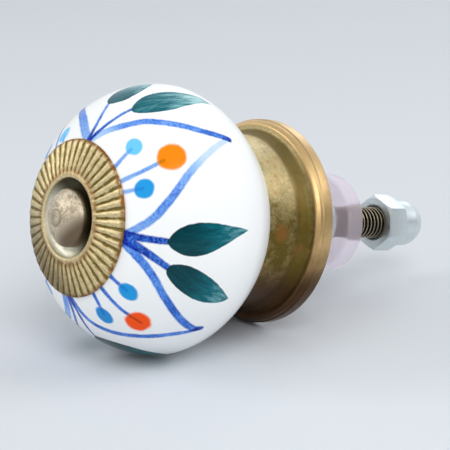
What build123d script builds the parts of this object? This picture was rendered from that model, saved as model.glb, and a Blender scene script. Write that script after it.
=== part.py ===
from build123d import *
import math
import os

# Cabinet knob: a hand-painted ceramic ball held between a pressed brass rosette
# and a turned brass backplate by one M5 bolt, with its washers and cap nut.
# All sizes are in millimetres. The knob's axis is Y, the front faces -Y, and
# y = 0 is the plane where the backplate seats on the furniture.

# Ceramic ball
BALL_RADIUS = 20.0
EQUATOR_Y = -21.6
FRONT_DEPTH = 16.8          # equator to the pole that the front curve aims at
REAR_DEPTH = 16.9
FRONT_POWER = 2.05          # 2 is an ellipse, less is more pointed
REAR_POWER = 1.66
FRONT_FLAT_Y = -36.0        # ground flat under the rosette
REAR_FLAT_Y = -7.1
CERAMIC_BORE = 2.9
CURVE_STATIONS = 7          # points on each half of the ball's curve

# Pressed brass rosette on the front
ROSETTE_RADIUS = 11.35
ROSETTE_RIM_Y = -36.06      # front face of the thin outer edge
CREST_Y = -37.56            # front of the lip round the well
WELL_RADIUS = 5.9
LIP_RADIUS = 6.7            # where the flutes start
SHEET = 0.48
FLUTES = 46
FLUTE_SHARE = 0.8           # width of a rib against the pitch of the ribs
FLUTE_HEIGHT = 0.3
ROSETTE_HOLE = 2.75

# M5 bolt with a low domed head
BOLT_RADIUS = 2.5
BOLT_LENGTH = 65.0          # under the head
HEAD_RADIUS = 4.2
HEAD_BAND = 1.2             # seat to the corner where band and dome would meet
HEAD_EDGE = 0.8             # rounding of that corner
DOME_HEIGHT = 1.88
PIP_RADIUS = 1.1            # turning pip left in the middle of the dome
PIP_HEIGHT = 0.1
TIP_CHAMFER = 0.6

# Turned brass backplate, a cup with a thick rim
RIM_RADIUS = 15.8
RIM_BAND = 1.9
COVE_BOTTOM_RADIUS = 13.35  # wall at the foot of the cove
COVE_TOP_RADIUS = 14.3
COVE_Y = -4.3
BEAD_Y = -2.85
CUP_FRONT_RADIUS = 13.15
CUP_FRONT_Y = -10.95
CUP_INNER_RADIUS = 12.35
PLATE_HOLE = 2.75
WEB = 0.95
REAR_FLAT_RADIUS = 8.0

# Washers and nut behind the furniture
FLAT_WASHER_Y = 10.2        # front face, against the furniture
FLAT_WASHER = (5.0, 2.65, 1.0)      # outer radius, hole radius, thickness
CLEAR_WASHER = (7.7, 2.5, 3.4)      # soft, so its hole grips the bolt
NUT_Y = 24.5
NUT_ACROSS_FLATS = 8.0
NUT_HEX_HEIGHT = 4.0
NUT_HEIGHT = 10.0
NUT_DOME_RADIUS = 3.75
NUT_THREAD_DEPTH = 7.5
NUT_MOUTH_RADIUS = 3.0
NUT_TURN = 12.6             # degrees that a corner stands away from the top


def turned(*edges):
    """Solid of revolution about Y from an outline drawn as (radius, y)."""
    return revolve(make_face(Wire(list(edges))), Axis.Y)


def corners(*points, close=False):
    """Straight edges through (radius, y) points."""
    return Polyline(*points, close=close).edges()


def ball_curve_point(angle):
    """Point (radius, y) on the ball, with angle 0 at the equator and 90 at the rear pole."""
    depth, power = (REAR_DEPTH, REAR_POWER) if angle > 0 else (-FRONT_DEPTH, FRONT_POWER)
    turn = math.radians(abs(angle))
    along = math.sin(turn) ** (2 / power)
    out = math.cos(turn) ** (2 / power)
    return BALL_RADIUS * out, EQUATOR_Y + depth * along


def ball_curve_angle(y):
    """Angle on the ball's curve at height y along the axis."""
    depth, power = (REAR_DEPTH, REAR_POWER) if y > EQUATOR_Y else (FRONT_DEPTH, FRONT_POWER)
    along = (abs(y - EQUATOR_Y) / depth) ** (power / 2)
    return math.copysign(math.degrees(math.asin(along)), y - EQUATOR_Y)


def ceramic_body():
    """Ball with a ground flat at each end and a clearance hole for the bolt."""
    front = ball_curve_angle(FRONT_FLAT_Y)
    rear = ball_curve_angle(REAR_FLAT_Y)
    steps = range(CURVE_STATIONS + 1)
    curve = [ball_curve_point(front * (1 - i / CURVE_STATIONS)) for i in steps]
    curve += [ball_curve_point(rear * i / CURVE_STATIONS) for i in steps[1:]]
    side = Spline(*curve)
    ends = corners(curve[-1], (CERAMIC_BORE, REAR_FLAT_Y), (CERAMIC_BORE, FRONT_FLAT_Y), curve[0])
    return turned(side, *ends)


def front_cap(ceramic):
    """Thin pressed rosette: a fluted cone, a rolled lip and a well for the bolt head."""
    floor_front = FRONT_FLAT_Y - SHEET
    cone_slope = (ROSETTE_RIM_Y - CREST_Y - FLUTE_HEIGHT) / (ROSETTE_RADIUS - LIP_RADIUS)
    cone_top_y = CREST_Y + FLUTE_HEIGHT
    lip_middle = ((WELL_RADIUS + LIP_RADIUS) / 2, CREST_Y)
    front_cone = Line((ROSETTE_RADIUS, ROSETTE_RIM_Y), (LIP_RADIUS, cone_top_y))
    lip = ThreePointArc((LIP_RADIUS, cone_top_y), lip_middle, (WELL_RADIUS, cone_top_y))
    well = corners(
        (WELL_RADIUS, cone_top_y),
        (WELL_RADIUS - SHEET / 2, floor_front),
        (ROSETTE_HOLE, floor_front),
        (ROSETTE_HOLE, FRONT_FLAT_Y),
        (WELL_RADIUS + SHEET / 2, FRONT_FLAT_Y),
        (WELL_RADIUS + SHEET, cone_top_y + SHEET),
        (ROSETTE_RADIUS - SHEET / 2, ROSETTE_RIM_Y + SHEET / 2 - cone_slope * SHEET / 2),
        (ROSETTE_RADIUS, ROSETTE_RIM_Y),
    )
    shell = turned(front_cone, lip, *well)

    # One rib is a slim cone lying on the fluted cone, and its width follows the pitch
    inner = Vector(LIP_RADIUS - SHEET, cone_top_y)
    outer = Vector(ROSETTE_RADIUS + SHEET, ROSETTE_RIM_Y)
    rib_half = [FLUTE_SHARE * math.pi * r / FLUTES for r in (inner.X, outer.X)]
    rib_round = [(h * h + FLUTE_HEIGHT ** 2) / (2 * FLUTE_HEIGHT) for h in rib_half]
    start, end = [Vector(p.X, p.Y - FLUTE_HEIGHT + r) for p, r in zip((inner, outer), rib_round)]
    along = end - start
    rib = Plane(origin=start, z_dir=along) * Cone(
        rib_round[0], rib_round[1], along.length, align=(Align.CENTER, Align.CENTER, Align.MIN)
    )
    front_space = turned(*corners(
        (LIP_RADIUS - SHEET, CREST_Y - SHEET),
        (ROSETTE_RADIUS, CREST_Y - SHEET),
        (ROSETTE_RADIUS, ROSETTE_RIM_Y + SHEET / 4),
        (LIP_RADIUS - SHEET, cone_top_y + SHEET / 4),
        close=True,
    ))
    rib = rib & front_space
    ribs = [Rot(0, 360 * i / FLUTES, 0) * rib for i in range(FLUTES)]
    return (shell - ceramic) + ribs


def bolt():
    """Domed head and shank in one piece; the fine thread isn't cut here."""
    seat_y = FRONT_FLAT_Y - SHEET
    band_y = seat_y - HEAD_BAND
    apex_y = band_y - DOME_HEIGHT
    tip_y = seat_y + BOLT_LENGTH
    dome_round = (HEAD_RADIUS ** 2 + DOME_HEIGHT ** 2) / (2 * DOME_HEIGHT)
    centre_y = apex_y + dome_round

    def on_dome(radius):
        return radius, centre_y - math.sqrt(dome_round ** 2 - radius ** 2)

    # The rounded edge is tangent to the dome inside it and to the band
    edge_middle = HEAD_RADIUS - HEAD_EDGE
    inner_round = dome_round - HEAD_EDGE
    edge_y = centre_y - math.sqrt(inner_round ** 2 - edge_middle ** 2)
    edge_turn = math.acos(edge_middle / inner_round)

    def on_edge(turn):
        return edge_middle + HEAD_EDGE * math.cos(turn), edge_y - HEAD_EDGE * math.sin(turn)

    pip_edge = on_dome(PIP_RADIUS)
    dome = ThreePointArc(pip_edge, on_dome(HEAD_RADIUS / 2), on_edge(edge_turn))
    edge = ThreePointArc(on_edge(edge_turn), on_edge(edge_turn / 2), on_edge(0))
    rest = corners(
        on_edge(0),
        (HEAD_RADIUS, seat_y),
        (BOLT_RADIUS, seat_y),
        (BOLT_RADIUS, tip_y - TIP_CHAMFER),
        (BOLT_RADIUS - TIP_CHAMFER, tip_y),
        (0, tip_y),
        (0, apex_y - PIP_HEIGHT),
        (PIP_RADIUS, apex_y - PIP_HEIGHT),
        pip_edge,
    )
    return turned(dome, edge, *rest)


def backplate(ceramic):
    """Turned cup: dished front that the ball sits in, cove, bead and thick rim."""
    cove = ThreePointArc(
        (COVE_BOTTOM_RADIUS, COVE_Y),
        (COVE_BOTTOM_RADIUS + 0.3, COVE_Y + 1.05),
        (COVE_TOP_RADIUS, BEAD_Y),
    )
    bead = ThreePointArc(
        (COVE_TOP_RADIUS, BEAD_Y),
        (RIM_RADIUS - 0.45, BEAD_Y + 0.3),
        (RIM_RADIUS, -RIM_BAND),
    )
    rest = corners(
        (RIM_RADIUS, -RIM_BAND),
        (RIM_RADIUS, 0),
        (CUP_INNER_RADIUS, 0),
        (CUP_INNER_RADIUS, CUP_FRONT_Y + 2 * WEB),
        (REAR_FLAT_RADIUS, REAR_FLAT_Y + WEB),
        (PLATE_HOLE, REAR_FLAT_Y + WEB),
        (PLATE_HOLE, REAR_FLAT_Y),
        (REAR_FLAT_RADIUS, REAR_FLAT_Y),
        (CUP_FRONT_RADIUS, CUP_FRONT_Y),
        (COVE_BOTTOM_RADIUS, COVE_Y),
    )
    return turned(cove, bead, *rest) - ceramic


def washer(y, sizes):
    """Plain ring whose front face is at y."""
    outer, hole, thick = sizes
    return turned(*corners((hole, y), (outer, y), (outer, y + thick), (hole, y + thick), close=True))


def cap_nut():
    """Domed M5 nut with a blind hole and a countersunk mouth."""
    hex_back = NUT_Y + NUT_HEX_HEIGHT
    corner_radius = NUT_ACROSS_FLATS / math.sqrt(3)
    chamfer = corner_radius - NUT_ACROSS_FLATS / 2
    face = Plane(origin=(0, NUT_Y, 0), x_dir=(0, 0, 1), z_dir=(0, 1, 0))
    hexagon = RegularPolygon(corner_radius, 6, rotation=-NUT_TURN)
    prism = extrude(face * hexagon, NUT_HEX_HEIGHT)
    slope = chamfer / math.sqrt(3)
    envelope = turned(*corners(
        (0, NUT_Y),
        (NUT_ACROSS_FLATS / 2, NUT_Y),
        (corner_radius, NUT_Y + slope),
        (corner_radius, hex_back - slope),
        (NUT_ACROSS_FLATS / 2, hex_back),
        (0, hex_back),
        close=True,
    ))
    shoulder_y = NUT_Y + NUT_HEIGHT - NUT_DOME_RADIUS
    diagonal = NUT_DOME_RADIUS / math.sqrt(2)
    dome_top = ThreePointArc(
        (NUT_DOME_RADIUS, shoulder_y),
        (diagonal, shoulder_y + diagonal),
        (0, shoulder_y + NUT_DOME_RADIUS),
    )
    dome_side = corners((0, shoulder_y + NUT_DOME_RADIUS), (0, hex_back), (NUT_DOME_RADIUS, hex_back),
                        (NUT_DOME_RADIUS, shoulder_y))
    mouth = NUT_MOUTH_RADIUS - BOLT_RADIUS
    hole = turned(*corners(
        (0, NUT_Y),
        (NUT_MOUTH_RADIUS, NUT_Y),
        (BOLT_RADIUS, NUT_Y + mouth),
        (BOLT_RADIUS, NUT_Y + NUT_THREAD_DEPTH),
        (0, NUT_Y + NUT_THREAD_DEPTH),
        close=True,
    ))
    return (prism & envelope) + turned(dome_top, *dome_side) - hole


def main():
    ceramic = ceramic_body()
    parts = {
        "bolt": bolt(),
        "front_cap": front_cap(ceramic),
        "ceramic_body": ceramic,
        "backplate": backplate(ceramic),
        "flat_washer": washer(FLAT_WASHER_Y, FLAT_WASHER),
        "clear_washer": washer(FLAT_WASHER_Y + FLAT_WASHER[2], CLEAR_WASHER),
        "cap_nut": cap_nut(),
    }
    os.makedirs("parts", exist_ok=True)
    for name, shape in parts.items():
        export_step(shape, f"parts/{name}.step")
        print(name, "volume", round(shape.volume, 1), "mm3")


main()
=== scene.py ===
import math

import bpy
import numpy as np
from mathutils import Matrix, Vector


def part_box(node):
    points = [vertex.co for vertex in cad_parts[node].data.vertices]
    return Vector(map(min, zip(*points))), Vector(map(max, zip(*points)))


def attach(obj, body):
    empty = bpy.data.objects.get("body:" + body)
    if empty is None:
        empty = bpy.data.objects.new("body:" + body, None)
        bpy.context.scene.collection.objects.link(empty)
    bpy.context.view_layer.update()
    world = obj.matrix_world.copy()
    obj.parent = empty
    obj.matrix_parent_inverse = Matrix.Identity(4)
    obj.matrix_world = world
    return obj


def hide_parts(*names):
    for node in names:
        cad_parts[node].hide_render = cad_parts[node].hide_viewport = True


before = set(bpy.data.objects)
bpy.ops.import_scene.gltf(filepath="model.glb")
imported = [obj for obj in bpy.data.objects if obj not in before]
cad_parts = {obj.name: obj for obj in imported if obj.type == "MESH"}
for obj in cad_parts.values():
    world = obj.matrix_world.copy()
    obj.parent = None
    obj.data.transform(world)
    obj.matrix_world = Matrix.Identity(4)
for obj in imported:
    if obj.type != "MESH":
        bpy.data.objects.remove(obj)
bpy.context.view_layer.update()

bl_info = {
    "name": "Painted Cabinet Knob",
    "version": (1, 0, 0),
    "blender": (4, 5, 0),
    "location": "View3D > Sidebar > Knob",
    "description": "Models a hand-painted ceramic knob with its brass fittings, washers and domed nut",
    "category": "Object",
}

MM = 0.001
SAME_SPOT = 0.0005 * MM             # vertices nearer than this are one vertex

# Where the CAD nodes say that the pieces are. The knob's axis is Y and its front faces -Y.
BALL_LOW, BALL_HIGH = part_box("ceramic_body")
CAP_LOW, CAP_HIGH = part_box("front_cap")
BOLT_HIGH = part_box("bolt")[1]
PLATE_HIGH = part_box("backplate")[1]
FLAT_LOW, FLAT_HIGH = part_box("flat_washer")
CLEAR_LOW, CLEAR_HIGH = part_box("clear_washer")
NUT_LOW, NUT_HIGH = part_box("cap_nut")

# The ball's outline: two superellipses that meet at the equator
EQUATOR_Y = -21.6 * MM
BALL_RADIUS = 20.0 * MM
FRONT_DEPTH = 16.8 * MM
REAR_DEPTH = 16.9 * MM
FRONT_POWER = 2.05
REAR_POWER = 1.66
GLAZE_RINGS = 150                   # rings of faces from the front flat to the rear flat
GLAZE_STEPS = 560                   # faces round the ball, fine enough for the painted edges
BORE_RINGS = 4                      # rings of faces along the bore
TURNED_STEPS = 144                  # faces round a turned metal piece

FLUTES = 46
CAP_RIM_Y = -36.06 * MM             # front of the rosette's rim
FLAT_FLUTE = 0.001 * MM             # height of a flute where the sheet is flat

# The thread, which runs right-hand: half the width of its ridge at the foot and at the crest,
# and what stays plain at each end of the shank
THREAD_PITCH = 0.8 * MM
ROOT_HALF = 0.37 * MM
CREST_HALF = 0.06 * MM
THREAD_RUNOUT = 0.6 * MM

# The washers and the nut
FLAT_HOLE = 2.65 * MM               # radius of the steel washer's hole
FLAT_EDGE = 0.15 * MM               # rounding of its edges
CLEAR_EDGE = 0.45 * MM              # rounding of the clear washer's edges
NUT_HOLE_DEPTH = 7.5 * MM
NUT_EDGE = 0.12 * MM
NUT_STEPS = 96                      # faces round the nut's dome and its chamfer cones

# Painted strokes. A point is the angle round the knob in degrees, from +X towards +Z, and the
# distance in mm along the glaze from the edge of the front flat. Then come the half widths in mm
# and the tones, from 0 for a pale wash to 1 for a full brush, each from the stroke's start to its end.
PETAL_WIDTHS = (0.5, 0.6, 0.6, 0.5)
THIN_WIDTHS = (0.38, 0.32, 0.3)
LEAF_STEM_WIDTHS = (0.78, 0.64, 0.48)
RISING_STROKES = (
    ([(89, 0.6), (81, 2.9), (73, 5.4), (67, 7.9), (61, 10), (52, 14), (46.5, 18.2)],
     (0.62, 0.6, 0.55, 0.55, 0.5), (0.2, 0.3, 0.62, 0.68, 0.62, 0.66, 0.95)),
    ([(-3, 0.2), (-10.4, 3.0), (-17.5, 5.7), (-25.4, 8.3), (-31.6, 10.8), (-36.3, 13.2), (-39, 15.4),
      (-38.6, 16.6)],
     (0.75, 0.68, 0.62, 0.62, 0.62, 0.55), (0.72, 0.66, 0.74, 0.78, 0.74, 0.76, 0.88)),
    ([(178, 0.8), (171, 2.9), (163, 5.4), (157, 7.9), (151, 10), (142, 14), (137, 17.9)],
     PETAL_WIDTHS, (0.3, 0.4, 0.65, 0.6, 0.9)),
    ([(-176, 0.6), (-166, 3.8), (-157, 6.9), (-147, 10.6), (-142, 13.9), (-138, 16.9)],
     PETAL_WIDTHS, (0.5, 0.65, 0.7, 0.8)),
)
FALLING_STROKES = (
    ([(0, 0.3), (9, 3.6), (14.7, 5.4), (19.1, 6.5), (25.3, 8.2), (32, 10.1), (38.2, 12.7), (43.5, 15.7),
      (46.8, 18.1)],
     (0.55, 0.62, 0.62, 0.6, 0.5, 0.45), (0.6, 0.52, 0.62, 0.68, 0.66, 0.5, 0.18, 0.12, 0.14)),
    ([(-87, 0.4), (-84.5, 1.6), (-78.3, 5.0), (-69.5, 7.2), (-60.5, 9.1), (-52.3, 11.2), (-45.5, 13.4),
      (-39.5, 16.2)],
     (0.55, 0.5, 0.5, 0.5, 0.5, 0.4), (0.75, 0.72, 0.75, 0.8, 0.75, 0.7, 0.8)),
    ([(93, 0.4), (95, 1.3), (101.4, 2.6), (109, 4.4), (118, 6.9), (127, 10.5), (137, 17.9)],
     (0.62, 0.78, 0.78, 0.6, 0.5), (0.42, 0.45, 0.6, 0.72, 0.6)),
    ([(-93, 0.4), (-94.5, 1.8), (-97.1, 3.8), (-103, 6.4), (-112, 9.0), (-126, 12.6), (-138, 16.9)],
     (0.6, 0.72, 0.72, 0.6, 0.5), (0.55, 0.6, 0.5, 0.6, 0.7)),
)
STEM_STROKES = (
    ([(0, 0.2), (0.5, 3.0), (1, 7.2)], (0.9, 0.58, 0.46), (1.0, 0.95, 0.9, 1.0)),
    ([(-2, 0.4), (-7, 4.3), (-12, 7.9)], LEAF_STEM_WIDTHS, (1.0, 0.92, 0.9, 0.95)),
    ([(89, 0.6), (84, 4.2), (80, 7.9)], (0.42, 0.34, 0.32), (0.95, 0.8, 0.76)),
    ([(90, 0.5), (93, 4.0), (98, 7.8)], (0.4, 0.32, 0.28), (0.95, 0.75, 0.7)),
    ([(-88, 0.6), (-85.5, 3.8), (-87.3, 9.0)], (0.42, 0.36, 0.3), (0.95, 0.9, 0.85)),
    ([(-89, 0.6), (-91, 4.0), (-99.5, 8.4)], (0.4, 0.34, 0.3), (0.9, 0.9, 0.85)),
    ([(180, 0.4), (180.5, 3.0), (181, 7.4)], LEAF_STEM_WIDTHS, (0.95, 0.9, 0.85)),
    ([(178, 0.4), (173, 4.3), (168, 7.9)], LEAF_STEM_WIDTHS, (0.95, 0.9, 0.85)),
    ([(51, 0.3), (54, 2.2), (56.0, 3.9)], THIN_WIDTHS, (0.5, 0.55, 0.5)),
    ([(39, 0.2), (40, 4.5), (41.6, 7.4)], THIN_WIDTHS, (0.45, 0.5, 0.6, 0.6)),
    ([(31, 0.2), (30.4, 2.2), (30, 3.6)], (0.34, 0.3, 0.28), (0.38, 0.42, 0.5)),
    ([(-33, 0.2), (-34, 2.0), (-34.5, 3.8)], THIN_WIDTHS, (0.75, 0.75, 0.7)),
    ([(-47, 0.3), (-48, 4.5), (-47.2, 8.4)], (0.4, 0.34, 0.26), (0.75, 0.75, 1.0)),
    ([(-57, 0.3), (-59, 2.2), (-61.5, 4.2)], THIN_WIDTHS, (0.75, 0.75, 0.6)),
    ([(-122, 0.4), (-121, 2.0), (-120, 3.9)], THIN_WIDTHS, (0.7, 0.7, 0.5)),
    ([(-134, 0.4), (-134, 4.0), (-134, 7.4)], THIN_WIDTHS, (0.75, 0.7, 0.8)),
    ([(-148, 0.4), (-148, 2.0), (-148, 4.0)], THIN_WIDTHS, (0.7, 0.7, 0.5)),
    ([(122, 0.4), (123, 1.6), (125, 3.0)], THIN_WIDTHS, (0.5, 0.5, 0.4)),
    ([(132, 0.4), (133, 4.0), (135, 7.6)], THIN_WIDTHS, (0.55, 0.6, 0.7)),
    ([(146, 0.4), (147, 2.0), (148, 4.0)], THIN_WIDTHS, (0.6, 0.6, 0.5)),
)
# Dots: centre, half width along the knob's axis and round it in mm, and their paint
ORANGE, VERMILION, SKY, PALE_SKY, CORNFLOWER = 0.0, 0.25, 0.5, 0.75, 1.0
DOTS = (
    ((56.5, 4.45), (1.3, 1.38), PALE_SKY),
    ((42.4, 8.65), (2.1, 2.05), ORANGE),
    ((29.6, 3.8), (1.5, 1.42), SKY),
    ((-34.7, 4.1), (1.6, 1.3), SKY),
    ((-48, 8.0), (1.85, 2.05), VERMILION),
    ((-62.4, 4.5), (1.6, 1.3), CORNFLOWER),
    ((-120, 3.9), (1.4, 1.3), CORNFLOWER),
    ((-134, 8.2), (1.9, 1.9), ORANGE),
    ((-148, 4.0), (1.4, 1.4), SKY),
    ((125, 3.0), (1.4, 1.3), PALE_SKY),
    ((135, 8.4), (1.9, 1.95), VERMILION),
    ((148, 4.0), (1.45, 1.4), SKY),
)
# Leaves: base, one edge towards the tip, tip, other edge back to the base, and how pale the wash is.
# On the two leaves at the top the paler wash is partly a painted reflection of the overhead light.
LEAVES = (
    ((0.8, 6.8), [(6.2, 7.8), (10.0, 9.9), (10.8, 12.7), (9.8, 15.8)], (8.2, 19.4),
     [(5.4, 17.3), (0.9, 14.7), (-3.2, 12.1), (-4.4, 9.9), (-2.6, 7.8)], 0.0),
    ((-12.6, 7.6), [(-10.0, 8.1), (-8.6, 9.5), (-9.3, 11.5), (-12.4, 14.1), (-17.2, 16.6)], (-21.6, 18.4),
     [(-23.4, 17.0), (-24.2, 14.3), (-22.3, 11.3), (-18.6, 8.9), (-15.2, 7.8)], 0.0),
    ((79.6, 7.7), [(82.2, 8.9), (83.8, 11.0), (82.2, 13.6), (79, 15.8), (74.5, 18.2)], (68.2, 19.6),
     [(68.2, 17.6), (67.4, 15.1), (67.0, 12.0), (70.4, 9.4), (75.4, 7.9)], 0.38),
    ((98, 7.5), [(102.5, 8.8), (104.5, 11.5), (102, 14.2)], (95.5, 15.8),
     [(92, 14.0), (89.5, 11.8), (89.6, 9.2), (94, 7.9)], 0.22),
    ((-87.3, 8.8), [(-91.5, 10.5), (-92, 13.4), (-87, 16.6), (-79, 18.8)], (-70, 19.4),
     [(-66.5, 16.6), (-67.4, 13.2), (-71.6, 10.8), (-79, 9.3)], 0.0),
    ((-99.5, 8.2), [(-105, 9.0), (-112, 11.6), (-116, 15.0)], (-113, 18.8),
     [(-106, 16.0), (-99, 13.0), (-96, 10.2)], 0.1),
    ((181, 7.1), [(186.5, 8.2), (189.8, 10.6), (190.5, 13.4), (189.6, 16.4)], (187, 19.3),
     [(184, 17.0), (180, 14.8), (176.6, 12.2), (175.6, 9.8), (177.2, 7.9)], 0.1),
    ((168, 7.7), [(171, 9.2), (170.6, 11.4), (167.2, 14.0), (162, 16.6)], (158, 18.3),
     [(156, 16.2), (155.6, 13.8), (157.8, 11.0), (162, 8.4)], 0.05),
)
FAR = 9.0                           # mm, stands for anywhere well away from the paint
PAINT_REACH = 2.0                   # mm round a stroke or a leaf in which its field is worked out
SOFT_DOT = 0.65                     # share of its real distance at the orange paint's softer edge


# Settings a user may change

def linear(code):
    """Linear colour of an sRGB hex value."""
    channels = [int(code[i:i + 2], 16) / 255 for i in (1, 3, 5)]
    return [c / 12.92 if c <= 0.04045 else ((c + 0.055) / 1.055) ** 2.4 for c in channels]


def length(name, description, default):
    """A size in metres."""
    return bpy.props.FloatProperty(
        name=name, description=description, default=default, min=0.0, precision=5,
        unit="LENGTH", subtype="DISTANCE",
    )


def colour(name, description, code):
    """A colour given as an sRGB hex value."""
    return bpy.props.FloatVectorProperty(
        name=name, description=description, default=linear(code), size=3, min=0.0, max=1.0,
        subtype="COLOR",
    )


class KnobSizes(bpy.types.PropertyGroup):
    """Sizes of the details that the scene adds to the solids"""

    bore: length("Bore", "Radius of the hole through the ball", 2.9 * MM)
    flat_edge: length("Flat edge", "Rounding where the ball's curve meets a ground flat", 0.25 * MM)
    well: length("Well", "Radius of the rosette's well, inside its lip", 5.75 * MM)
    lip: length("Lip", "Radius where the rosette's lip ends and the flutes start", 6.5 * MM)
    sheet: length("Sheet", "Thickness of the pressed brass", 0.48 * MM)
    flute_height: length("Flute height", "How far a flute's ridge stands above its valley", 0.3 * MM)
    head: length("Head", "Radius of the bolt's head", 4.2 * MM)
    head_band: length("Head band", "From the seat to where band and dome would meet", 1.2 * MM)
    head_edge: length("Head edge", "Rounding between the head's dome and its band", 0.8 * MM)
    dome: length("Dome", "Height of the head's dome", 1.88 * MM)
    pip: length("Pip", "Radius of the turning pip on the dome", 1.1 * MM)
    shank: length("Shank", "Outside radius of the thread", 2.5 * MM)
    thread_depth: length("Thread depth", "Depth of the thread's groove", 0.45 * MM)
    nut_flats: length("Nut flats", "Width across the nut's flats", 8.0 * MM)
    nut_hex: length("Nut hexagon", "Length of the nut's hexagon", 4.0 * MM)
    nut_dome: length("Nut dome", "Radius of the nut's dome", 3.75 * MM)
    nut_mouth: length("Nut mouth", "Radius of the countersink round the nut's hole", 3.0 * MM)
    nut_turn: bpy.props.FloatProperty(
        name="Nut turn", description="How far a corner of the nut stands away from the top",
        default=math.radians(12.6), subtype="ANGLE",
    )


class KnobColours(bpy.types.PropertyGroup):
    """Colours of the pieces and the studio"""

    glaze: colour("Glaze", "White glaze over the clay", "#F5F7F7")
    orange: colour("Orange", "Orange dots", "#FA8600")
    vermilion: colour("Vermilion", "Red-orange dots", "#FC5204")
    sky: colour("Sky blue", "Bright blue dots", "#1F98DC")
    pale_sky: colour("Pale blue", "Palest blue dots", "#6CC6F4")
    cornflower: colour("Cornflower", "Deeper blue dots", "#228CD4")
    wash_blue: colour("Wash blue", "Thin wash of the blue outlines", "#EAF4FF")
    pale_blue: colour("Pale blue brush", "Half dry brush of the blue outlines", "#A3CAF7")
    brush_blue: colour("Brush blue", "Brush of the blue outlines", "#4A86E6")
    deep_blue: colour("Deep blue", "Full brush of the blue stems and tips", "#0A2E9C")
    leaf_dark: colour("Leaf", "Full brush of the leaves", "#00242B")
    leaf_middle: colour("Leaf middle", "Half full brush of the leaves", "#0A6470")
    leaf_wash: colour("Leaf wash", "Thin wash of the leaves", "#8CC6CC")
    brass_crest: colour("Brass crest", "Worn crests of the pressed brass", "#EBD7A6")
    brass_valley: colour("Brass valley", "Patina in the flutes", "#86743E")
    # painted light: the pale grey green low on the left of the rosette's well
    well_painted_light: colour("Well low", "Grey green patina low in the rosette's well", "#ECE8D2")
    # painted shade: the dark high and on the right of the rosette's well
    well_painted_shade: colour("Well high", "Dark patina high in the rosette's well", "#45402A")
    # painted shade: the brown grey on the rosette's bottom left
    rosette_shade_brown: colour("Brass old side", "Brown grey patina low on the rosette", "#62503A")
    brass_brown: colour("Brass brown", "Brown patina at the rosette's edges", "#96602C")
    head_metal: colour("Head", "Aged brass of the bolt's head", "#E4D5BA")
    # stains, and painted shade low on the head's right and round its band
    head_stains_and_shade: colour("Head stains", "Dark stains on the bolt's head", "#553D25")
    thread_worn: colour("Thread crest", "Rubbed crests of the thread", "#C2B69E")
    # dirt, and painted shade, in the thread's grooves
    thread_dirt_and_shade: colour("Thread root", "Dirt in the thread", "#1A150E")
    # wear, and painted light on the top of the backplate
    plate_worn_and_lit: colour("Backplate worn", "Handled part of the backplate's wall", "#CAB888")
    plate_olive: colour("Backplate", "Olive patina on the backplate's wall", "#6C5A18")
    plate_brown: colour("Backplate brown", "Brown stains on the backplate", "#A0682A")
    # brown on the band, and painted shade on the bottom of the rim and the plate
    plate_band_brown_and_shade: colour("Backplate underside", "Brown patina low on the rim and on its band", "#48290C")
    plate_bright: colour("Backplate bright", "Rubbed brass on the bead and rim", "#E4BE84")
    zinc: colour("Zinc", "Zinc plating", "#E4ECEE")
    clear_plastic: colour("Clear plastic", "Tint of the clear washer", "#FAF0FA")
    floor: colour("Floor", "Pale floor and backdrop", "#D4D9DF")


# Modelling helpers

def pick(*pieces):
    """Select these pieces alone, and make the last of them active."""
    bpy.ops.object.select_all(action="DESELECT")
    for piece in pieces:
        piece.select_set(True)
    bpy.context.view_layer.objects.active = pieces[-1]


def start_line(name, spots):
    """A new piece that is one line of edges through spots, in edit mode and all selected."""
    bpy.ops.object.select_all(action="DESELECT")
    bpy.ops.mesh.primitive_plane_add(size=MM)
    piece = bpy.context.object
    piece.name = name
    piece.data.name = name
    bpy.ops.object.mode_set(mode="EDIT")
    bpy.ops.mesh.select_all(action="SELECT")
    bpy.ops.mesh.merge(type="CENTER")
    bpy.ops.transform.translate(value=spots[0])
    for here, there in zip(spots, spots[1:]):
        bpy.ops.mesh.extrude_region_move(TRANSFORM_OT_translate={"value": there - here})
    bpy.ops.mesh.select_all(action="SELECT")
    return piece


def rounded_outline(corners, ring=False, steps=6):
    """Points of an outline given as (radius, y, rounding) corners, in metres."""
    count = len(corners)
    made = []
    for i, (radius, y, rounding) in enumerate(corners):
        here = Vector((radius, y))
        if rounding == 0 or (not ring and i in (0, count - 1)):
            made.append(here)
            continue
        before = (Vector(corners[i - 1][:2]) - here).normalized()
        after = (Vector(corners[(i + 1) % count][:2]) - here).normalized()
        half = before.angle(after) / 2
        run = rounding / math.tan(half)
        centre = here + (before + after).normalized() * (rounding / math.sin(half))
        first = (here + before * run - centre).normalized()
        last = (here + after * run - centre).normalized()
        for k in range(steps + 1):
            made.append(centre + first.slerp(last, k / steps) * rounding)
    return made + made[:1] if ring else made


def turn_piece(name, outline, steps):
    """An outline of (radius, y) points, spun about the knob's axis to a closed piece."""
    piece = start_line(name, [Vector((point[0], point[1], 0)) for point in outline])
    bpy.ops.mesh.spin(steps=steps, angle=math.tau, center=(0, 0, 0), axis=(0, 1, 0))
    close_shell()
    return piece


def close_shell():
    """Merge the doubles of the mesh in edit mode, turn its faces outwards and leave edit mode."""
    bpy.ops.mesh.select_all(action="SELECT")
    bpy.ops.mesh.remove_doubles(threshold=SAME_SPOT)
    bpy.ops.mesh.normals_make_consistent(inside=False)
    bpy.ops.object.mode_set(mode="OBJECT")


def apply_modifier(piece, kind, **settings):
    """Add a modifier with its settings and apply it."""
    pick(piece)
    modifier = piece.modifiers.new(kind.title(), kind)
    for key, value in settings.items():
        setattr(modifier, key, value)
    bpy.ops.object.modifier_apply(modifier=modifier.name)


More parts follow.
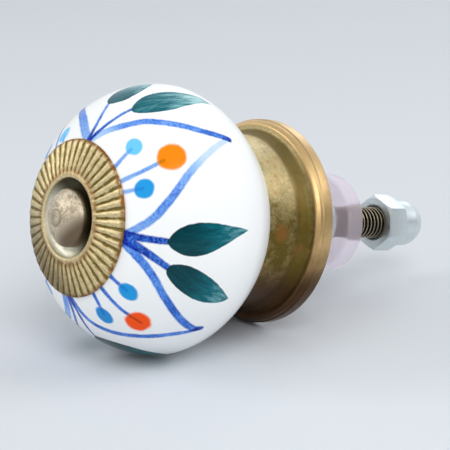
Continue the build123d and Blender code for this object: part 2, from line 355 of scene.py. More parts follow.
def finish_piece(piece, node_name, material, angle=35):
    """Shade the piece, give it its material, and set it on the CAD body in place of its node."""
    pick(piece)
    bpy.ops.object.shade_smooth_by_angle(angle=math.radians(angle))
    piece.data.materials.clear()
    piece.data.materials.append(material)
    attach(piece, "root")
    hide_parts(node_name)


def arc_points(centre, radius, start, end, steps):
    """Points on an arc in the (radius, y) plane, from one angle to another in degrees."""
    angles = np.radians(np.linspace(start, end, steps + 1))
    return [Vector((centre[0] + radius * math.cos(a), centre[1] + radius * math.sin(a))) for a in angles]


# The ball and its painting

def ball_outline():
    """Radius and y of evenly spaced points on the ball's curve, and their distance along it."""
    front = math.asin(((EQUATOR_Y - BALL_LOW.y) / FRONT_DEPTH) ** (FRONT_POWER / 2))
    back = math.asin(((BALL_HIGH.y - EQUATOR_Y) / REAR_DEPTH) ** (REAR_POWER / 2))
    turn = np.linspace(-front, back, 4001)
    rear = turn > 0
    power = np.where(rear, REAR_POWER, FRONT_POWER)
    depth = np.where(rear, REAR_DEPTH, -FRONT_DEPTH)
    radius = BALL_RADIUS * np.cos(turn) ** (2 / power)
    y = EQUATOR_Y + depth * np.abs(np.sin(turn)) ** (2 / power)
    run = np.concatenate(([0], np.cumsum(np.hypot(np.diff(radius), np.diff(y)))))
    even = np.linspace(0, run[-1], GLAZE_RINGS + 1)
    return np.interp(even, run, radius), np.interp(even, run, y), even


def on_glaze(points, outline):
    """Places in mm of painted points, given as (angle in degrees, mm along the glaze)."""
    radius, y, run = outline
    points = np.asarray(points, float)
    turn = np.radians(points[:, 0])
    along = points[:, 1] * MM
    out = np.interp(along, run, radius)
    return np.column_stack((out * np.cos(turn), np.interp(along, run, y), out * np.sin(turn))) / MM


def flowing(points, steps=8):
    """A smooth line through points, as a brush would follow them."""
    points = np.asarray(points, float)
    ends = np.vstack((2 * points[0] - points[1], points, 2 * points[-1] - points[-2]))
    t = np.linspace(0, 1, steps, endpoint=False)[:, None]
    line = []
    for a, b, c, d in zip(ends, ends[1:], ends[2:], ends[3:]):
        line.append(0.5 * (2 * b + (c - a) * t + (2 * a - 5 * b + 4 * c - d) * t ** 2
                           + (3 * b - a - 3 * c + d) * t ** 3))
    return np.vstack(line + [points[-1:]])


def nearest_on_line(spots, line):
    """Distance from each spot to a line, and the share of the line's length at the nearest place."""
    start, step = line[:-1], np.diff(line, axis=0)
    offset = spots[:, None, :] - start[None]
    along = np.clip((offset * step).sum(2) / (step * step).sum(1), 0, 1)
    gap = np.linalg.norm(offset - along[..., None] * step, axis=2)
    best = gap.argmin(1)
    rows = np.arange(len(spots))
    return gap[rows, best], (best + along[rows, best]) / len(step)


def near_shape(spots, shape):
    """Numbers of the spots that stand within reach of a shape's points."""
    low, high = shape.min(0) - PAINT_REACH, shape.max(0) + PAINT_REACH
    return np.flatnonzero((spots > low).all(1) & (spots < high).all(1))


def stroke_field(spots, strokes, outline):
    """For each spot: mm outside the nearest stroke's edge, the stroke's tone and mm along it."""
    field = np.tile([FAR, 0.0, 0.0], (len(spots), 1))
    for points, widths, tones in strokes:
        line = on_glaze(flowing(points), outline)
        near = near_shape(spots, line)
        gap, share = nearest_on_line(spots[near], line)
        gap -= np.interp(share, np.linspace(0, 1, len(widths)), widths)
        tone = np.interp(share, np.linspace(0, 1, len(tones)), tones)
        run = share * np.linalg.norm(np.diff(line, axis=0), axis=1).sum()
        nearer = gap < field[near, 0]
        field[near[nearer]] = np.column_stack((gap, tone, run))[nearer]
    return field


def inside_outline(across, along, shape):
    """True for the points of a plane that lie inside a closed outline."""
    inside = np.zeros(len(across), bool)
    for (x0, y0), (x1, y1) in zip(shape, np.roll(shape, -1, axis=0)):
        crosses = (y0 > along) != (y1 > along)
        rise = y1 - y0 if y1 != y0 else 1.0
        inside ^= crosses & (across < x0 + (along - y0) * (x1 - x0) / rise)
    return inside


def leaf_field(spots, outline):
    """For each spot: mm outside the nearest leaf's edge, share of the way to its tip, and mm across."""
    field = np.tile([FAR, 0.0, 0.0], (len(spots), 1))
    wash = np.zeros(len(spots))
    for base, one_edge, tip, other_edge, pale in LEAVES:
        there = flowing([base] + one_edge + [tip])
        back = flowing([tip] + other_edge + [base])
        shape = on_glaze(np.vstack((there, back[1:])), outline)
        root, end = on_glaze([base, tip], outline)
        near = near_shape(spots, shape)
        gap, _ = nearest_on_line(spots[near], shape)
        # the leaf is laid flat along its rib, to tell its inside from its outside
        rib = end - root
        span = np.linalg.norm(rib)
        rib /= span
        side = np.cross(shape.mean(0) - [0, EQUATOR_Y / MM, 0], rib)
        side /= np.linalg.norm(side)
        flat = np.column_stack((side, rib))
        across, along = ((spots[near] - root) @ flat).T
        gap = np.where(inside_outline(across, along, (shape - root) @ flat), -gap, gap)
        nearer = gap < field[near, 0]
        field[near[nearer]] = np.column_stack((gap, along / span, across))[nearer]
        wash[near[nearer]] = pale
    return field, wash


def dot_field(spots, outline):
    """For each spot: mm outside the nearest dot's edge, the dot's paint, and its share of the radius."""
    field = np.tile([FAR, 0.0, 2.0], (len(spots), 1))
    for centre, (long_half, wide_half), paint in DOTS:
        middle, onward = on_glaze([centre, (centre[0], centre[1] + 0.5)], outline)
        axis = (onward - middle) / np.linalg.norm(onward - middle)
        offset = spots - middle
        along = offset @ axis
        across = np.linalg.norm(offset - along[:, None] * axis, axis=1)
        share = np.hypot(along / long_half, across / wide_half)
        softness = SOFT_DOT if paint in (ORANGE, VERMILION) else 1.0
        gap = (share - 1) * min(long_half, wide_half) * softness
        nearer = gap < field[:, 0]
        field[nearer] = np.column_stack((gap, np.full(len(gap), paint), share))[nearer]
    return field


def paint_ball(ball, outline):
    """Store the painting on the ball's vertices, as distances and tones that its material draws."""
    mesh = ball.data
    spots = np.empty(len(mesh.vertices) * 3)
    mesh.vertices.foreach_get("co", spots)
    spots = spots.reshape(-1, 3) / MM
    leaf, wash = leaf_field(spots, outline)
    fields = {
        "rising_stroke": stroke_field(spots, RISING_STROKES, outline),
        "falling_stroke": stroke_field(spots, FALLING_STROKES, outline),
        "stem_stroke": stroke_field(spots, STEM_STROKES, outline),
        "leaf_shape": leaf,
        "dot_shape": dot_field(spots, outline),
    }
    for name, field in fields.items():
        attribute = mesh.attributes.new(name, "FLOAT_VECTOR", "POINT")
        attribute.data.foreach_set("vector", field.astype(np.float32).ravel())
    attribute = mesh.attributes.new("leaf_wash", "FLOAT", "POINT")
    attribute.data.foreach_set("value", wash.astype(np.float32))


def model_ball(sizes):
    """Turned clay ball with a ground flat at each end and a bore, and its painting."""
    radius, y, _ = ball_outline()
    radius[0] -= sizes.flat_edge
    radius[-1] -= sizes.flat_edge
    points = [Vector((sizes.bore, y[0]))]
    points += [Vector(point) for point in zip(radius, y)]
    points += [Vector((sizes.bore, back)) for back in np.linspace(y[-1], y[0], BORE_RINGS + 1)]
    ball = turn_piece("ceramic_ball", points, GLAZE_STEPS)
    paint_ball(ball, ball_outline())
    return ball


# The metal and plastic pieces

def rosette_stations(sizes):
    """Stations (radius, y, share of the flutes' height) round the pressed sheet, closed on themselves."""
    floor = BALL_LOW.y - sizes.sheet
    rim, rim_y = CAP_HIGH.x, CAP_RIM_Y
    valley_y = CAP_LOW.y + sizes.flute_height
    bend = (sizes.lip - sizes.well) / 2
    lip_rise, nose = 0.22 * MM, 0.22 * MM
    # the well's floor, which curls up to its wall
    well = [(2.75, 0), (4.3, 0), (4.75, -0.05), (5.1, -0.17), (5.38, -0.36), (5.6, -0.56)]
    stations = [(radius * MM, floor + rise * MM, 0) for radius, rise in well]
    # the rolled lip, out of which the flutes rise
    for k in range(7):
        turn = math.radians(180 - 25 * k)
        stations.append((sizes.well + bend + bend * math.cos(turn), valley_y - lip_rise * math.sin(turn),
                         0.05 * k))
    # the flutes, which end in rounded noses at the rim
    inner, outer = sizes.lip + 0.06 * MM, rim - nose
    for share in np.linspace(0, 1, 11):
        rise = min(1.0, 0.45 + 3.2 * share) * min(1.0, (1.07 - share) / 0.12)
        stations.append((inner + (outer - inner) * share, valley_y + (rim_y - valley_y) * share, rise))
    # the edge, then the underside, which clears the ball
    edge = [(-0.1, 0.02, 0.25), (-0.02, 0.08, 0.06), (0, 0.2, 0), (-0.04, 0.3, 0)]
    stations += [(rim + out * MM, rim_y + back * MM, share) for out, back, share in edge]
    under = [(11.1, -35.74), (10.9, -35.86), (10.35, -36.02), (9.0, -36.3), (7.2, -36.64), (6.5, -36.76),
             (6.3, -36.2), (6.1, -36.005), (4.5, -36.005), (2.75, -36.005)]
    stations += [(radius * MM, y * MM, 0) for radius, y in under]
    return stations + stations[:1]


def model_rosette(sizes):
    """One flute of the pressed sheet, extruded across and then round the sheet, and repeated."""
    stations = rosette_stations(sizes)
    radius, y, _ = stations[0]
    # the section across one flute: a rounded ridge between narrow valleys
    across = np.linspace(-1, 1, 13)
    lift = np.sqrt(np.clip(1.04 - np.abs(across), 0, 1)) * np.cos(across * math.pi / 2) ** 0.5
    turns = across * math.pi / FLUTES
    height = FLAT_FLUTE
    piece = start_line("pressed_rosette", [
        Vector((radius * math.cos(turn), y - height * rise, radius * math.sin(turn)))
        for turn, rise in zip(turns, lift)
    ])
    for next_radius, next_y, share in stations[1:]:
        next_height = max(FLAT_FLUTE, share * sizes.flute_height)
        bpy.ops.mesh.extrude_region_move(TRANSFORM_OT_translate={"value": (0, 0, 0)})
        grow = next_radius / radius
        bpy.ops.transform.resize(value=(grow, next_height / height, grow), center_override=(0, y, 0))
        bpy.ops.transform.translate(value=(0, next_y - y, 0))
        radius, y, height = next_radius, next_y, next_height
    bpy.ops.mesh.select_all(action="SELECT")
    bpy.ops.mesh.spin(
        steps=FLUTES - 1, dupli=True, angle=math.tau * (FLUTES - 1) / FLUTES,
        center=(0, 0, 0), axis=(0, 1, 0),
    )
    close_shell()
    return piece


def wind_thread(start, end, core, crest):
    """The thread's ridge: one closed section, wound round the core from start to end."""
    foot = core - 0.05 * MM
    section = [(foot, -ROOT_HALF), (crest, -CREST_HALF), (crest, CREST_HALF), (foot, ROOT_HALF)]
    ridge = start_line("ridge", [Vector((radius, start + rise, 0)) for radius, rise in section + section[:1]])
    bpy.ops.mesh.remove_doubles(threshold=SAME_SPOT)
    bpy.ops.object.mode_set(mode="OBJECT")
    apply_modifier(
        ridge, "SCREW", axis="Y", angle=math.tau, screw_offset=THREAD_PITCH,
        iterations=int((end - start) / THREAD_PITCH), steps=24, render_steps=24,
        use_normal_calculate=True, use_smooth_shade=False,
    )
    bpy.ops.object.mode_set(mode="EDIT")
    bpy.ops.mesh.select_all(action="SELECT")
    bpy.ops.mesh.remove_doubles(threshold=SAME_SPOT)
    bpy.ops.mesh.fill_holes(sides=4)
    close_shell()
    return ridge


def model_bolt(sizes):
    """Domed head with its turning pip, and the shank's core with the thread's ridge round it."""
    seat = BALL_LOW.y - sizes.sheet
    apex = seat - sizes.head_band - sizes.dome
    dome_round = (sizes.head ** 2 + sizes.dome ** 2) / (2 * sizes.dome)
    centre_y = apex + dome_round
    # the rounded edge is tangent to the dome inside it and to the band
    edge_middle = sizes.head - sizes.head_edge
    inner_round = dome_round - sizes.head_edge
    edge_y = centre_y - math.sqrt(inner_round ** 2 - edge_middle ** 2)
    meet = math.degrees(math.acos(edge_middle / inner_round))
    start = math.degrees(math.acos(sizes.pip * 1.12 / dome_round))
    # the pip stands a little over the dome, with a hollow in its middle
    pip_y = apex - 0.06 * MM
    outline = [Vector((radius * MM, pip_y + rise * MM))
               for radius, rise in ((0, 0.05), (0.35, 0.035), (0.75, 0), (0.95, 0.02))]
    outline += [Vector((sizes.pip, pip_y + 0.1 * MM)), Vector((sizes.pip * 1.06, apex + 0.15 * MM))]
    outline += arc_points((0, centre_y), dome_round, -start, -meet, 16)
    outline += arc_points((edge_middle, edge_y), sizes.head_edge, -meet, 0, 8)[1:]
    core = sizes.shank - sizes.thread_depth
    outline += rounded_outline([
        (sizes.head, edge_y, 0),
        (sizes.head, seat, 0.12 * MM),
        (core, seat, 0),
        (core, BOLT_HIGH.y, 0.3 * MM),
        (0, BOLT_HIGH.y, 0),
    ], steps=3)[1:]
    bolt = turn_piece("bolt_with_thread", outline, TURNED_STEPS)
    ridge = wind_thread(seat + THREAD_RUNOUT, BOLT_HIGH.y - THREAD_RUNOUT, core, sizes.shank)
    pick(ridge, bolt)
    bpy.ops.object.join()
    return bolt


def model_backplate():
    """Turned cup: dished front that the ball sits in, wall, cove, bead and thick rim."""
    rim = PLATE_HIGH.x / MM
    # corners in mm: radius, y and rounding
    profile = [
        (2.75, -7.1, 0.1),
        (8.0, -7.1, 0),
        (12.75, -10.72, 0),
        (13.15, -10.95, 0.12),
        (13.15, -9.6, 0),
        (13.22, -7.0, 0),
        (13.32, -4.6, 1.6),
        (14.05, -2.98, 0.9),
        (15.05, -2.92, 0.45),
        (15.5, -2.42, 0.25),
        (15.62, -1.98, 0.1),
        (rim, -1.84, 0.1),
        (rim, 0, 0.35),
        (12.35, 0, 0.35),
        (12.35, -9.0, 0.5),
        (8.0, -6.15, 0),
        (2.75, -6.15, 0.1),
    ]
    outline = rounded_outline([[value * MM for value in corner] for corner in profile], ring=True)
    return turn_piece("turned_backplate", outline, TURNED_STEPS)


def model_washer(name, low, high, hole, edge, steps):
    """Ring in the place of a CAD washer, with rounded edges."""
    outline = rounded_outline([
        (hole, low.y, edge),
        (high.x, low.y, edge),
        (high.x, high.y, edge),
        (hole, high.y, edge),
    ], ring=True, steps=5)
    return turn_piece(name, outline, steps)


def model_nut(sizes):
    """Hexagon cut by its chamfer cone, with a dome on its back and a countersunk hole."""
    flat = sizes.nut_flats / 2
    corner = sizes.nut_flats / math.sqrt(3)
    slope = (corner - flat) / math.sqrt(3)
    front, back = NUT_LOW.y, NUT_LOW.y + sizes.nut_hex
    bpy.ops.object.select_all(action="DESELECT")
    # the primitive's first corner points along its own +Y
    bpy.ops.mesh.primitive_cylinder_add(vertices=6, radius=corner, depth=sizes.nut_hex)
    nut = bpy.context.object
    nut.name = "domed_cap_nut"
    nut.data.name = "domed_cap_nut"
    place = Matrix.Translation((0, (front + back) / 2, 0))
    tip = Matrix.Rotation(math.radians(-90), 4, "X")
    turn = Matrix.Rotation(-sizes.nut_turn, 4, "Y") @ Matrix.Rotation(math.pi, 4, "Y")
    nut.matrix_world = place @ turn @ tip
    bpy.ops.object.transform_apply(location=True, rotation=True, scale=True)
    # the cutters reach past the hexagon, so that no face of theirs lies in one of its own
    past = 1.0 * MM
    land = flat + 0.05 * MM
    envelope = turn_piece("envelope", [
        (0, front), (land, front), (corner, front + slope), (corner + past, front + slope),
        (corner + past, back - slope), (corner, back - slope), (land, back), (0, back),
    ], NUT_STEPS)
    shoulder = NUT_HIGH.y - sizes.nut_dome
    dome = turn_piece("dome", [(0, back - past), (sizes.nut_dome, back - past)] + arc_points(
        (0, shoulder), sizes.nut_dome, 0, 90, 14), NUT_STEPS)
    bore_end = front + NUT_HOLE_DEPTH
    hole = turn_piece("hole", [
        (0, front - past), (sizes.nut_mouth + past, front - past),
        (sizes.shank, front + sizes.nut_mouth - sizes.shank), (sizes.shank, bore_end), (0, bore_end),
    ], 64)
    for cutter, operation in ((envelope, "INTERSECT"), (dome, "UNION"), (hole, "DIFFERENCE")):
        apply_modifier(nut, "BOOLEAN", object=cutter, operation=operation, solver="EXACT")
        bpy.data.objects.remove(cutter)
    apply_modifier(nut, "BEVEL", width=NUT_EDGE, segments=3, limit_method="ANGLE",
                   angle_limit=math.radians(28))
    return nut


# Materials

# Settings that many nodes share. A MapRange's inputs are its value, the two ends of the range that
# it comes from and the two ends of the range that it goes to, which are 0 and 1 where not given.
SOFT = {"interpolation_type": "SMOOTHSTEP"}
IN_COLOUR = {"data_type": "RGBA"}


def add(tree, kind, *inputs, **settings):
    """Add a node. Its inputs fill its sockets in order, or those that one dictionary names."""
    node = tree.nodes.new("ShaderNode" + kind)
    for key, value in settings.items():
        setattr(node, key, value)
    named = inputs and isinstance(inputs[0], dict)
    for key, value in inputs[0].items() if named else enumerate(inputs):
        if isinstance(value, bpy.types.Node):
            value = next(socket for socket in value.outputs if socket.enabled)
        if isinstance(value, bpy.types.NodeSocket):
            tree.links.new(value, node.inputs[key])
        else:
            node.inputs[key].default_value = value
    return node


def new_material(name):
    """An empty node material and its tree."""
    material = bpy.data.materials.new(name)
    material.use_nodes = True
    material.node_tree.nodes.clear()
    return material, material.node_tree


def rgba(value):
    """A colour setting as a socket takes it."""
    return (*value, 1.0)


def place_in_mm(tree):
    """Place on the knob in mm."""
    place = add(tree, "TexCoord")
    return add(tree, "VectorMath", {0: place.outputs["Object"], "Scale": 1 / MM}, operation="SCALE")


def round_coordinates(tree):
    """Place in mm, its x, y and z, and its radius from the axis, for a turned piece."""
    place = place_in_mm(tree)
    x, y, z = add(tree, "SeparateXYZ", place).outputs
    flat = add(tree, "CombineXYZ", {"X": x, "Z": z})
    radius = add(tree, "VectorMath", flat, operation="LENGTH")
    return place, x, y, z, radius.outputs["Value"]


def paint_layer(tree, under, attribute, wobble, grain, dotted, colours):
    """Lay one coat of brushed blue over the colour under it."""
    stored = add(tree, "Attribute", attribute_name=attribute)
    parts = add(tree, "SeparateXYZ", stored.outputs["Vector"])
    edge = add(tree, "Math", parts.outputs[0], wobble, operation="ADD")
    cover = add(tree, "MapRange", edge, 0.14, -0.19, **SOFT)
    # under the dots' own paint the strokes show through weakly
    cover = add(tree, "Math", cover, dotted, operation="MULTIPLY")
    # wet paint pools along a stroke's edge
    pooled = add(tree, "MapRange", edge, -0.5, -0.12, 0.97, 1.03, **SOFT)
    tone = add(tree, "Math", parts.outputs[1], grain, operation="MULTIPLY")
    tone = add(tree, "Math", tone, pooled, operation="MULTIPLY")
    ink = add(tree, "ValToRGB", tone)
    ink.color_ramp.elements[0].color = rgba(colours.wash_blue)
    ink.color_ramp.elements[1].color = rgba(colours.deep_blue)
    for position, shade in ((0.3, colours.pale_blue), (0.68, colours.brush_blue)):
        ink.color_ramp.elements.new(position).color = rgba(shade)
    return add(tree, "Mix", {0: cover, 6: under, 7: ink.outputs[0]}, **IN_COLOUR, blend_type="MULTIPLY")


def glazed_ceramic(colours):
    """Slip-cast earthenware, painted by brush under a clear gloss glaze.

    The eye sees a white body with soft edges to the paint, grain where the brush ran dry,
    and one smooth reflecting skin over all of it.
    """
    material, tree = new_material("glazed earthenware, brush painted")
    place = place_in_mm(tree)
    wobble_noise = add(tree, "TexNoise", {"Vector": place, "Scale": 0.9, "Detail": 5.0, "Roughness": 0.65})
    wobble = add(tree, "MapRange", wobble_noise, 0.25, 0.75, -0.08, 0.08)
    # salt-like grain of cobalt paint, about 0.3 mm, over slow changes where the brush was wetter
    fine = add(tree, "TexNoise", {"Vector": place, "Scale": 2.9, "Detail": 3.0, "Roughness": 0.75})
    slow = add(tree, "TexNoise", {"Vector": place, "Scale": 0.55, "Detail": 2.0})
    fine_share = add(tree, "MapRange", fine, 0.3, 0.7, 0.72, 1.22)
    slow_share = add(tree, "MapRange", slow, 0.3, 0.7, 0.85, 1.15)
    grain = add(tree, "Math", fine_share, slow_share, operation="MULTIPLY")
    glaze_noise = add(tree, "TexNoise", {"Vector": place, "Scale": 0.12, "Detail": 2.0})
    body = add(tree, "Mix",
               {0: glaze_noise, 6: rgba(colours.glaze), 7: rgba([c * 0.97 for c in colours.glaze])},
               **IN_COLOUR)

    dots = add(tree, "Attribute", attribute_name="dot_shape")
    dot = add(tree, "SeparateXYZ", dots.outputs["Vector"])
    dot_ramp = add(tree, "ValToRGB", dot.outputs[1])
    dot_ramp.color_ramp.interpolation = "CONSTANT"
    paints = (colours.orange, colours.vermilion, colours.sky, colours.pale_sky, colours.cornflower)
    while len(dot_ramp.color_ramp.elements) < len(paints):
        dot_ramp.color_ramp.elements.new(0.5)
    for i, paint in enumerate(paints):
        dot_ramp.color_ramp.elements[i].position = max(0.0, i * 0.25 - 0.12)
        dot_ramp.color_ramp.elements[i].color = rgba(paint)
    dot_edge = add(tree, "Math", slow, 0.35, dot.outputs[0], operation="MULTIPLY_ADD")
    dot_cover = add(tree, "MapRange", dot_edge, 0.32, -0.02, **SOFT)
    layers = add(tree, "Mix", {0: dot_cover, 6: body, 7: dot_ramp.outputs[0]}, **IN_COLOUR)
    dotted = add(tree, "MapRange", dot_cover, 0.0, 1.0, 1.0, 0.45)
    for name in ("rising_stroke", "falling_stroke", "stem_stroke"):
        layers = paint_layer(tree, layers, name, wobble, grain, dotted, colours)

    leaves = add(tree, "Attribute", attribute_name="leaf_shape")
    leaf = add(tree, "SeparateXYZ", leaves.outputs["Vector"])
    # on the two top leaves the paleness partly stands in for a painted reflection of the overhead light
    pale = add(tree, "Attribute", attribute_name="leaf_wash")
    # brush hairs run from the leaf's base to its tip, a few tenths of a millimetre apart
    lengthwise = add(tree, "Math", leaf.outputs[1], 2.5, operation="MULTIPLY")
    hairs_at = add(tree, "CombineXYZ", {"X": leaf.outputs[2], "Y": lengthwise})
    hairs = add(tree, "TexNoise", {"Vector": hairs_at, "Scale": 1.3, "Detail": 5.0, "Roughness": 0.7})
    leaf_edge = add(tree, "Math", wobble, 0.8, leaf.outputs[0], operation="MULTIPLY_ADD")
    leaf_cover = add(tree, "MapRange", leaf_edge, 0.07, -0.11, **SOFT)
    to_tip = add(tree, "MapRange", leaf.outputs[1], 0.2, 1.0, 0.14, 0.82, **SOFT)
    streaks = add(tree, "MapRange", hairs, 0.32, 0.68, 0.35, 1.2)
    thin = add(tree, "Math", to_tip, streaks, operation="MULTIPLY")
    thin = add(tree, "Math", pale.outputs["Fac"], streaks, thin, operation="MULTIPLY_ADD")
    near_edge = add(tree, "MapRange", leaf_edge, -0.6, 0.0, 1.0, 0.75)
    wash = add(tree, "Math", thin, near_edge, operation="MULTIPLY")
    # light flecks where the glaze took up less paint
    flecks = add(tree, "MapRange", fine, 0.62, 0.76, 0.0, 0.4, **SOFT)
    wash = add(tree, "Math", wash, flecks, operation="ADD", use_clamp=True)
    green = add(tree, "ValToRGB", wash)
    green.color_ramp.elements[0].color = rgba(colours.leaf_dark)
    green.color_ramp.elements[1].color = rgba(colours.leaf_wash)
    green.color_ramp.elements.new(0.4).color = rgba(colours.leaf_middle)
    leafed = add(tree, "Mix", {0: leaf_cover, 6: layers, 7: green.outputs[0]}, **IN_COLOUR)

    ripple = add(tree, "TexNoise", {"Vector": place, "Scale": 0.35, "Detail": 1.0})
    bump = add(tree, "Bump", {"Strength": 0.12, "Distance": 0.2 * MM, "Height": ripple})
    shader = add(tree, "BsdfPrincipled",
                 {"Base Color": leafed, "Roughness": 0.2, "IOR": 1.5, "Specular IOR Level": 0.15,
                  "Normal": bump})
    add(tree, "OutputMaterial", {"Surface": shader})
    return material


def pressed_brass(colours):
    """Sheet brass pressed in a die and antiqued, then rubbed back.

    The eye sees matt cream-yellow crests, olive patina left in the flutes, brown at both edges, fine
    pits and marks of the die, painted light and shade in the well, and painted shade low on the left.
    """
    material, tree = new_material("pressed sheet brass, antiqued")
    place, x, _, z, radius = round_coordinates(tree)
    angle = add(tree, "Math", z, x, operation="ARCTAN2")
    phase = add(tree, "Math", angle, FLUTES, operation="MULTIPLY")
    wave = add(tree, "Math", phase, operation="COSINE")
    blotch = add(tree, "TexNoise", {"Vector": place, "Scale": 0.7, "Detail": 4.0, "Roughness": 0.65})
    fine = add(tree, "TexNoise", {"Vector": place, "Scale": 5.0, "Detail": 3.0, "Roughness": 0.75})
    crest = add(tree, "Math", fine, 1.4, wave, operation="MULTIPLY_ADD")
    crest = add(tree, "Math", blotch, 2.6, crest, operation="MULTIPLY_ADD")
    on_crest = add(tree, "MapRange", crest, 1.05, 2.05, **SOFT)
    fluted = add(tree, "MapRange", radius, 6.4, 6.8, **SOFT)
    worn = add(tree, "Mix", {0: fluted, 2: 1.1, 3: on_crest}, data_type="FLOAT")
    # fine marks of the die run along the flutes
    outward = add(tree, "Math", radius, 0.03, operation="MULTIPLY")
    marks_at = add(tree, "CombineXYZ", {"X": angle, "Y": outward})
    marks = add(tree, "TexNoise", {"Vector": marks_at, "Scale": 34.0, "Detail": 3.0, "Roughness": 0.7})
    marked = add(tree, "MapRange", marks, 0.35, 0.65, 0.62, 1.15)
    worn = add(tree, "Math", worn, marked, operation="MULTIPLY", use_clamp=True)
    metal = add(tree, "Mix", {0: worn, 6: rgba(colours.brass_valley), 7: rgba(colours.brass_crest)},
                **IN_COLOUR)
    # painted light and shade in the well: it is pale grey green low on its left, where light falls in, and
    # dark above and on its right, in shade
    well_shade_mask = add(tree, "VectorMath", place, (0.62, 0.0, 0.78), operation="DOT_PRODUCT")
    well_shade_mask = add(tree, "MapRange", well_shade_mask.outputs["Value"], -3.6, 2.2, **SOFT)
    well = add(tree, "Mix", {0: well_shade_mask, 6: rgba(colours.well_painted_light), 7: rgba(colours.well_painted_shade)}, **IN_COLOUR)
    in_well = add(tree, "MapRange", radius, 5.9, 5.6, **SOFT)
    metal = add(tree, "Mix", {0: in_well, 6: metal, 7: well}, **IN_COLOUR)
    # brown patina along the rim and where the flutes begin, broken up in blotches
    rim = add(tree, "MapRange", radius, 10.75, 11.3, 0.0, 1.1, **SOFT)
    lip_out = add(tree, "MapRange", radius, 7.6, 6.4, **SOFT)
    lip_in = add(tree, "MapRange", radius, 6.0, 6.6, 0.0, 0.9, **SOFT)
    lip = add(tree, "Math", lip_out, lip_in, operation="MULTIPLY")
    edges = add(tree, "Math", rim, lip, operation="MAXIMUM")
    blotched = add(tree, "MapRange", blotch, 0.38, 0.6, 0.3, 0.95, **SOFT)
    brown_share = add(tree, "Math", edges, blotched, operation="MULTIPLY", use_clamp=True)
    browned = add(tree, "Mix", {0: brown_share, 6: metal, 7: rgba(colours.brass_brown)}, **IN_COLOUR)
    # painted shade: the bottom left is darkened to brown grey, as the side turned from the light
    low_left = add(tree, "VectorMath", place, (-0.55, 0.0, -0.83), operation="DOT_PRODUCT")
    lower_left_shade = add(tree, "Math", blotch, 6.0, low_left.outputs["Value"], operation="MULTIPLY_ADD")
    lower_left_shade = add(tree, "MapRange", lower_left_shade, 6.5, 13.5, 0.0, 0.72, **SOFT)
    browned = add(tree, "Mix", {0: lower_left_shade, 6: browned, 7: rgba(colours.rosette_shade_brown)}, **IN_COLOUR)
    # pits hold dark dirt
    pits = add(tree, "MapRange", fine, 0.42, 0.3, 0.0, 0.75, **SOFT)
    pitted = add(tree, "Mix", {0: pits, 6: browned, 7: rgba([c * 0.4 for c in colours.brass_valley])},
                 **IN_COLOUR)
    bump = add(tree, "Bump", {"Strength": 0.8, "Distance": 0.07 * MM, "Height": fine})
    roughness = add(tree, "MapRange", worn, 0.0, 1.0, 0.56, 0.34)
    shader = add(tree, "BsdfPrincipled",
                 {"Base Color": pitted, "Metallic": 1.0, "Roughness": roughness, "Normal": bump})
    add(tree, "OutputMaterial", {"Surface": shader})
    return material


def aged_brass(colours):
    """Turned brass bolt that has dulled to beige and brown.

    The eye sees a soft pewter-like sheen, fine dark pits and faint tool rings on the head, painted shade
    low on its right and round its band, and a thread whose nearly black grooves, dark with dirt and
    painted shade, lie between its rubbed, paler crests.
    """
    material, tree = new_material("turned brass, aged")
    place, _, y, _, radius = round_coordinates(tree)
    pits = add(tree, "TexNoise", {"Vector": place, "Scale": 3.8, "Detail": 5.0, "Roughness": 0.78})
    stains = add(tree, "TexNoise", {"Vector": place, "Scale": 1.3, "Detail": 5.0, "Roughness": 0.7})
    dark = add(tree, "MapRange", pits, 0.52, 0.64, 0.0, 0.72, **SOFT)
    cloudy = add(tree, "MapRange", stains, 0.42, 0.62, 0.0, 0.48, **SOFT)
    # a dark ring round the turning pip
    pip = add(tree, "Math", radius, 1.12, operation="SUBTRACT")
    pip = add(tree, "Math", pip, operation="ABSOLUTE")
    pip_ring = add(tree, "MapRange", pip, 0.4, 0.0, 0.0, 0.5, **SOFT)
    # painted shade low on the dome's right, and round its band in the gap inside the well
    dome_shade = add(tree, "VectorMath", place, (0.72, 0.0, -0.69), operation="DOT_PRODUCT")
    dome_shade = add(tree, "MapRange", dome_shade.outputs["Value"], 0.8, 3.3, 0.0, 0.85, **SOFT)
    on_band = add(tree, "MapRange", y, -37.6, -36.9, 0.0, 0.85, **SOFT)
    # stains and painted shade together darken the head
    stains_and_shade = dark
    for share in (cloudy, pip_ring, dome_shade, on_band):
        stains_and_shade = add(tree, "Math", stains_and_shade, share, operation="MAXIMUM")
    head = add(tree, "Mix", {0: stains_and_shade, 6: rgba(colours.head_metal), 7: rgba(colours.head_stains_and_shade)}, **IN_COLOUR)
    # the thread's grooves darken with dirt and with painted shade
    crest = add(tree, "MapRange", radius, 2.36, 2.5, **SOFT)
    thread = add(tree, "Mix", {0: crest, 6: rgba(colours.thread_dirt_and_shade), 7: rgba(colours.thread_worn)},
                 **IN_COLOUR)
    on_thread = add(tree, "Math", y, -36.45, operation="GREATER_THAN")
    metal = add(tree, "Mix", {0: on_thread, 6: head, 7: thread}, **IN_COLOUR)
    rings_at = add(tree, "CombineXYZ", {"X": radius, "Y": y})
    rings = add(tree, "TexNoise", {"Vector": rings_at, "Scale": 6.0, "Detail": 2.0})
    heights = add(tree, "Math", rings, pits, operation="ADD")
    bump = add(tree, "Bump", {"Strength": 0.7, "Distance": 0.07 * MM, "Height": heights})
    shader = add(tree, "BsdfPrincipled",
                 {"Base Color": metal, "Metallic": 1.0, "Roughness": 0.4, "Normal": bump})
    add(tree, "OutputMaterial", {"Surface": shader})
    return material


